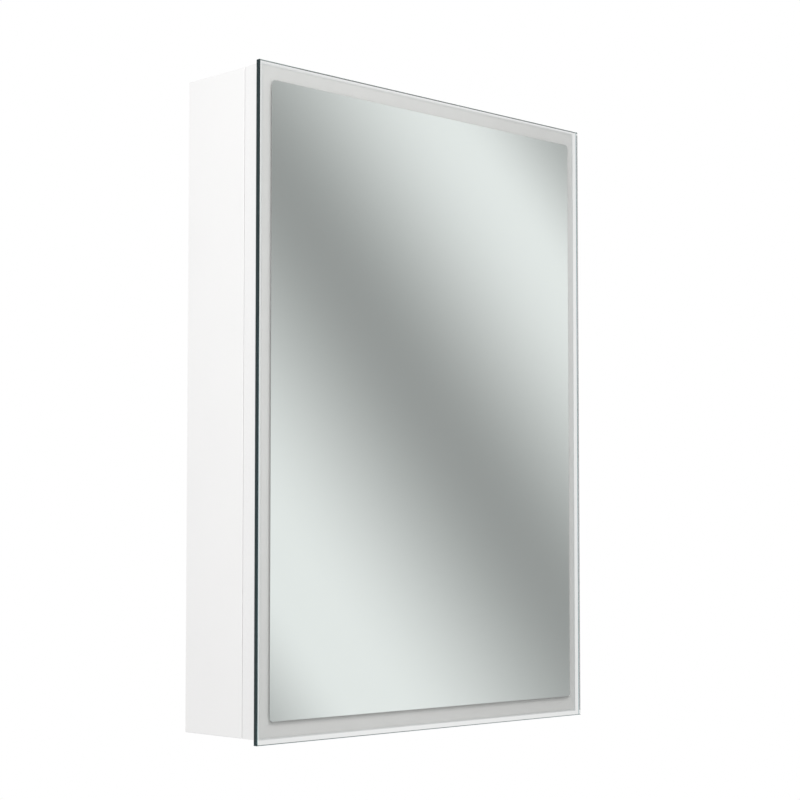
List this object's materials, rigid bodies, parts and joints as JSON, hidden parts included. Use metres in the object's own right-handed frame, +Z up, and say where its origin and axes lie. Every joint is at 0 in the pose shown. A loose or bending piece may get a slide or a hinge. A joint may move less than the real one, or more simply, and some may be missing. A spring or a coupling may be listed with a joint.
{
  "type": "medicine cabinet with mirror",
  "caption": "Wall-hung white bathroom cabinet with a handle-less hinged mirror door, a lit unsilvered border, glass shelves and a socket inside.",
  "frame": {"origin": "middle of the back face, where the cabinet lies on the wall", "axes": "+X to the right, +Y into the wall, +Z up; the mirror door faces -Y"},
  "size_m": [0.5, 0.124, 0.7],
  "materials": {
    "lacquered_board": "satin white lacquer on fibreboard",
    "white_back_board": "matt white melamine",
    "beech_dowel": "raw beech with pressed grooves",
    "white_powder_coat": "satin white powder coat",
    "opal_acrylic": "frosted opal",
    "clear_glass": "polished, green at the edges",
    "silvering": "silvered",
    "clear_bond": "clear laminating bond",
    "foam_tape": "matt white foam",
    "circuit_board": "white solder mask with yellow lamps",
    "zinc_steel": "bright zinc plated",
    "stainless_steel": "rolled stainless",
    "nickel_plated": "satin nickel",
    "white_plastic": "fine moulded satin",
    "ferrite_magnet": "ground dark grey",
    "clear_silicone": "clear soft domes",
    "brass_contact": "stamped brass",
    "grey_plastic": "moulded grey",
    "grey_rubber": "matt grey"
  },
  "bodies": {
    "cabinet": {"side_panel_left": "lacquered_board", "side_panel_right": "lacquered_board", "top_panel": "lacquered_board", "bottom_panel": "lacquered_board", "back_panel": "white_back_board", "carcass_dowels": "beech_dowel", "shelf_lower": "clear_glass", "shelf_upper": "clear_glass", "back_panel_screws": "zinc_steel", "wall_load_plates": "zinc_steel", "hinge_body_screws": "zinc_steel", "lid_screws": "zinc_steel", "hinge_leaf_body": "stainless_steel", "hinge_pin": "stainless_steel", "shelf_supports": "nickel_plated", "catch_housing_upper": "white_plastic", "catch_housing_lower": "white_plastic", "electrics_box": "white_plastic", "electrics_lid": "white_plastic", "socket_insert": "white_plastic", "switch_housing": "white_plastic", "catch_magnet_upper": "ferrite_magnet", "catch_magnet_lower": "ferrite_magnet", "door_buffers": "clear_silicone", "socket_contacts": "brass_contact", "led_driver": "grey_plastic", "terminal_block": "grey_plastic", "mains_inlet_grommet": "grey_rubber", "lamp_lead_grommet": "grey_rubber"},
    "door": {"door_front_pane": "clear_glass", "door_rear_pane": "clear_glass", "mirror_layer": "silvering", "clear_bond": "clear_bond", "glass_tape": "foam_tape", "inner_mirror_pane": "clear_glass", "inner_mirror_layer": "silvering", "corner_keys": "zinc_steel", "corner_key_screws": "zinc_steel", "strike_plate_upper": "zinc_steel", "strike_plate_lower": "zinc_steel", "door_lead_grommet": "grey_rubber", "hinge_leaf_door": "stainless_steel", "hinge_door_screws": "zinc_steel", "carrier_bottom": "white_powder_coat", "carrier_left": "white_powder_coat", "carrier_top": "white_powder_coat", "carrier_right": "white_powder_coat", "diffuser_bottom": "opal_acrylic", "diffuser_left": "opal_acrylic", "diffuser_top": "opal_acrylic", "diffuser_right": "opal_acrylic", "led_strip_bottom": "circuit_board", "led_strip_left": "circuit_board", "led_strip_top": "circuit_board", "led_strip_right": "circuit_board"},
    "rocker": {"switch_rocker": "white_plastic"}
  },
  "joints": [
    {"name": "door_hinge", "type": "hinge", "parent": "cabinet", "child": "door", "pos_m": [0.2473, -0.0934, 0], "axis": [0, 0, 1], "range_deg": [0, 165]},
    {"name": "light_switch", "type": "hinge", "parent": "cabinet", "child": "rocker", "pos_m": [0.2025, -0.0471, -0.29], "axis": [-1, 0, 0], "range_deg": [0, 18]}
  ]
}
